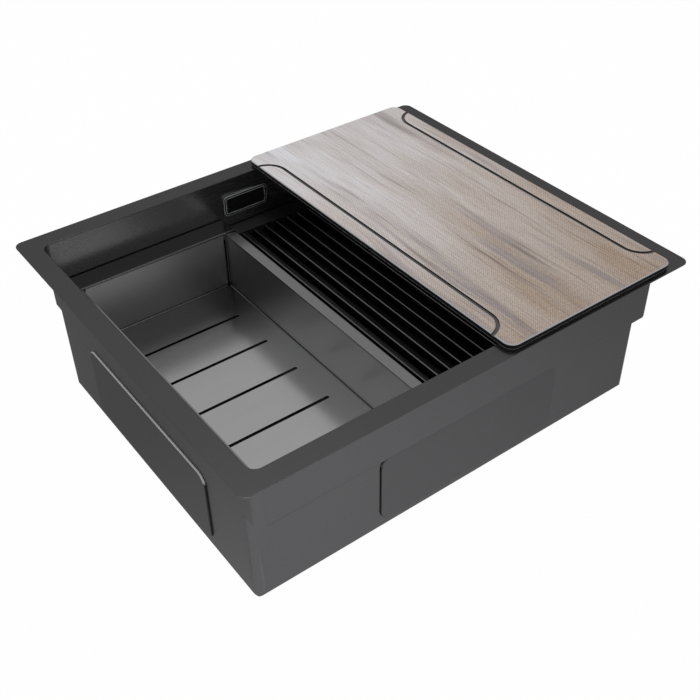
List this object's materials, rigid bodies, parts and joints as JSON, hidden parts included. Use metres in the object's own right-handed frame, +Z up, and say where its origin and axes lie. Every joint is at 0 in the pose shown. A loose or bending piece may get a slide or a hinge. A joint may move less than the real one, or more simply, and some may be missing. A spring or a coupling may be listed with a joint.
{
  "type": "workstation kitchen sink",
  "caption": "Rectangular drop-in kitchen sink with inner ledges that carry a slotted tray and a roll-out drying mat, a cutting board on its rim, a basket strainer and a hosed overflow.",
  "frame": {"origin": "centre of the worktop cut-out, in the plane of the rim's underside", "axes": "+X along the sink to the right as seen from the front, +Y to the back, +Z up out of the worktop"},
  "size_m": [0.6, 0.51, 0.2932],
  "materials": {
    "gunmetal_steel": "dark coated stainless steel, finely brushed",
    "tray_steel": "dark coated stainless steel, satin",
    "bar_steel": "black coated tube, satin",
    "black_steel": "black coated plate, satin",
    "bright_steel": "plain stainless steel",
    "black_rubber": "matt",
    "black_silicone": "soft matt",
    "sound_pad": "matt, lightly grained",
    "black_plastic": "fine spark texture",
    "grey_plastic": "smooth",
    "board_core": "black compact core",
    "board_face": "pale wood grain, satin"
  },
  "bodies": {
    "sink": {"bowl": "gunmetal_steel", "pad_front": "sound_pad", "pad_back": "sound_pad", "pad_left": "sound_pad", "pad_right": "sound_pad", "pad_floor_left": "sound_pad", "pad_floor_right": "sound_pad", "overflow_cover": "black_steel", "overflow_bracket": "bright_steel", "overflow_screws": "bright_steel", "overflow_gasket": "black_rubber", "overflow_housing": "black_plastic", "overflow_hose": "grey_plastic", "hose_clip_top": "bright_steel", "hose_clip_bottom": "bright_steel", "flange_seal": "black_rubber", "strainer_pot": "bright_steel", "outlet_seal": "black_rubber", "outlet_body": "black_plastic", "centre_screw": "bright_steel"},
    "basket": {"basket_cup": "bright_steel", "basket_knob": "bright_steel", "basket_seal": "black_rubber", "basket_clip": "bright_steel"},
    "tray": {"tray": "tray_steel"},
    "mat": {"mat_strip_front": "black_silicone", "mat_strip_back": "black_silicone", "mat_bar_1": "bar_steel", "mat_bar_2": "bar_steel", "mat_bar_3": "bar_steel", "mat_bar_4": "bar_steel", "mat_bar_5": "bar_steel", "mat_bar_6": "bar_steel", "mat_bar_7": "bar_steel", "mat_bar_8": "bar_steel", "mat_bar_9": "bar_steel", "mat_bar_10": "bar_steel", "mat_bar_11": "bar_steel", "mat_bar_12": "bar_steel", "mat_bar_13": "bar_steel", "mat_bar_14": "bar_steel", "mat_bar_15": "bar_steel", "mat_bar_16": "bar_steel"},
    "board": {"board_core": "board_core", "board_top_layer": "board_face", "board_bottom_layer": "board_face"}
  },
  "joints": [
    {"name": "tray_lift", "type": "slide", "parent": "sink", "child": "tray", "axis": [0, 0, 1], "range_m": [0, 0.16]},
    {"name": "board_slide", "type": "slide", "parent": "sink", "child": "board", "axis": [1, 0, 0], "range_m": [-0.055, 0.024]},
    {"name": "mat_slide", "type": "slide", "parent": "sink", "child": "mat", "axis": [1, 0, 0], "range_m": [-0.009, 0.0155]},
    {"name": "basket_lift", "type": "slide", "parent": "sink", "child": "basket", "axis": [0, 0, 1], "range_m": [0, 0.09]}
  ]
}
